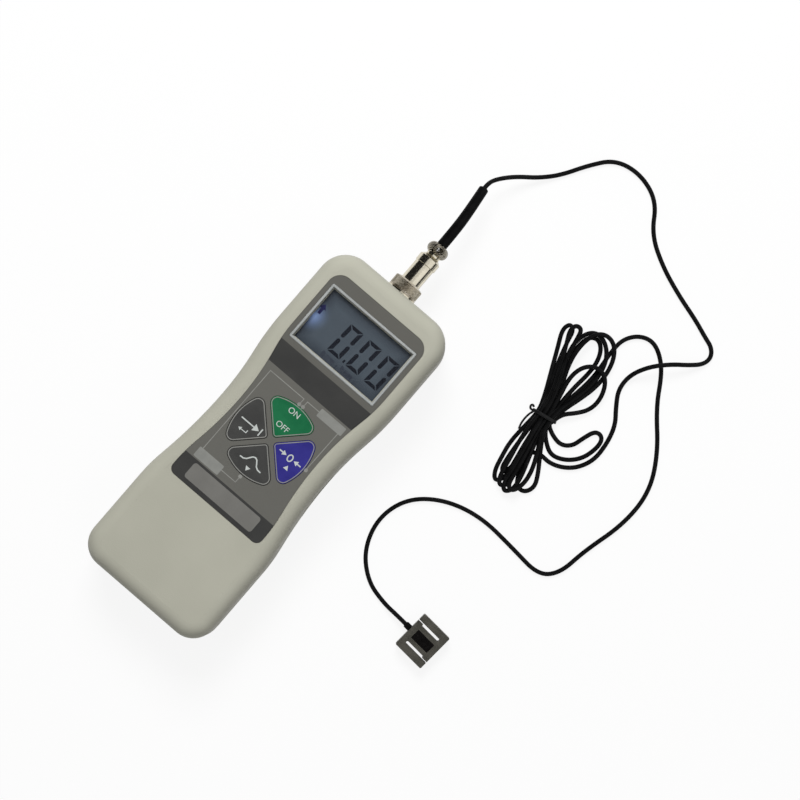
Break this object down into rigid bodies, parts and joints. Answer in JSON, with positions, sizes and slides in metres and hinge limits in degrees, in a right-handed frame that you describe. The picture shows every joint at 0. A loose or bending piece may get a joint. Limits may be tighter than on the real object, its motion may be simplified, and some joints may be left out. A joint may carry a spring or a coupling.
{
  "type": "digital force gauge",
  "caption": "Hand-held digital force gauge with a waisted housing, petal keys and a round screw plug, whose tied lead ends in a miniature S-beam load cell.",
  "frame": {"origin": "middle of the housing's flat back face, on the surface it lies on", "axes": "+X to the gauge's right, +Y out of its connector end, +Z out of its display"},
  "size_m": [0.1713, 0.2794, 0.0362],
  "materials": {
    "housing_plastic": "moulded, fine texture",
    "membrane_grey": "printed polyester film",
    "bezel_light": "satin",
    "window_clear": "polished",
    "display_glass": "polished",
    "light_guide": "frosted",
    "contact_rubber": "striped conductive rubber",
    "board_green": "solder mask",
    "chip_black": "moulded",
    "switch_body": "moulded",
    "zinc_steel": "zinc plated",
    "insert_brass": "turned",
    "cell_wrap": "shrink wrap",
    "tray_black": "moulded",
    "port_black": "moulded",
    "contact_gold": "gold flash",
    "nickel": "bright nickel plate",
    "knurled_nickel": "diamond knurl, nickel plate",
    "insulator": "moulded",
    "key_green": "printed film over a moulded key",
    "key_dark": "printed film over a moulded key",
    "key_blue": "printed film over a moulded key",
    "sleeve_black": "heat-shrink tube",
    "cord_black": "matt cable jacket",
    "tie_black": "coated wire tie",
    "cell_steel": "fine ground, satin",
    "potting_black": "gloss resin",
    "gauge_film": "foil gauge"
  },
  "bodies": {
    "housing": {"front_shell": "housing_plastic", "rear_shell": "housing_plastic", "keypad_overlay": "membrane_grey", "display_bezel": "bezel_light", "display_window": "window_clear", "display_panel": "display_glass", "display_backlight": "light_guide", "display_strips": "contact_rubber", "main_board": "board_green", "board_chips": "chip_black", "key_switches": "switch_body", "case_screws": "zinc_steel", "stand_inserts": "insert_brass", "battery_cells": "cell_wrap", "battery_tray": "tray_black", "data_port": "port_black", "port_pins": "contact_gold", "charging_jack": "nickel", "socket_shell": "nickel", "socket_insert": "insulator", "socket_contacts": "contact_gold", "socket_washer": "zinc_steel", "socket_nut": "nickel"},
    "on_off_key": {"on_off_key": "key_green"},
    "send_key": {"send_key": "key_dark"},
    "peak_key": {"peak_key": "key_dark"},
    "zero_key": {"zero_key": "key_blue"},
    "sensor_lead": {"ring_clip": "zinc_steel", "plug_barrel": "nickel", "plug_insert": "insulator", "plug_contacts": "contact_gold", "plug_tail": "nickel", "cable_clamp": "nickel", "clamp_screws": "zinc_steel", "cable_sleeve": "sleeve_black", "cord_plug_run": "cord_black", "cord_loop": "cord_black", "cord_cell_run": "cord_black", "cord_hank": "cord_black", "hank_tie": "tie_black", "cell_boot": "sleeve_black", "load_cell_body": "cell_steel", "gauge_potting": "potting_black", "strain_gauges": "gauge_film"},
    "screw_ring": {"coupling_ring": "knurled_nickel"}
  },
  "joints": [
    {"name": "on_off_press", "type": "slide", "parent": "housing", "child": "on_off_key", "axis": [0, 0, -1], "range_m": [0, 0.0005], "stiffness_N_per_m": 1200, "springref_m": -0.0004},
    {"name": "send_press", "type": "slide", "parent": "housing", "child": "send_key", "axis": [0, 0, -1], "range_m": [0, 0.0005], "stiffness_N_per_m": 1200, "springref_m": -0.0004},
    {"name": "peak_press", "type": "slide", "parent": "housing", "child": "peak_key", "axis": [0, 0, -1], "range_m": [0, 0.0005], "stiffness_N_per_m": 1200, "springref_m": -0.0004},
    {"name": "zero_press", "type": "slide", "parent": "housing", "child": "zero_key", "axis": [0, 0, -1], "range_m": [0, 0.0005], "stiffness_N_per_m": 1200, "springref_m": -0.0004},
    {"name": "plug_withdraw", "type": "slide", "parent": "housing", "child": "sensor_lead", "axis": [0, 1, 0], "range_m": [0, 0.00375]},
    {"name": "ring_turn", "type": "hinge", "parent": "sensor_lead", "child": "screw_ring", "pos_m": [0, 0.088, 0.018], "axis": [0, 1, 0], "range_deg": [0, 1350]}
  ],
  "couplings": [
    {"joint": "ring_turn", "follows": "plug_withdraw", "rad_per_m": 6283.2}
  ]
}
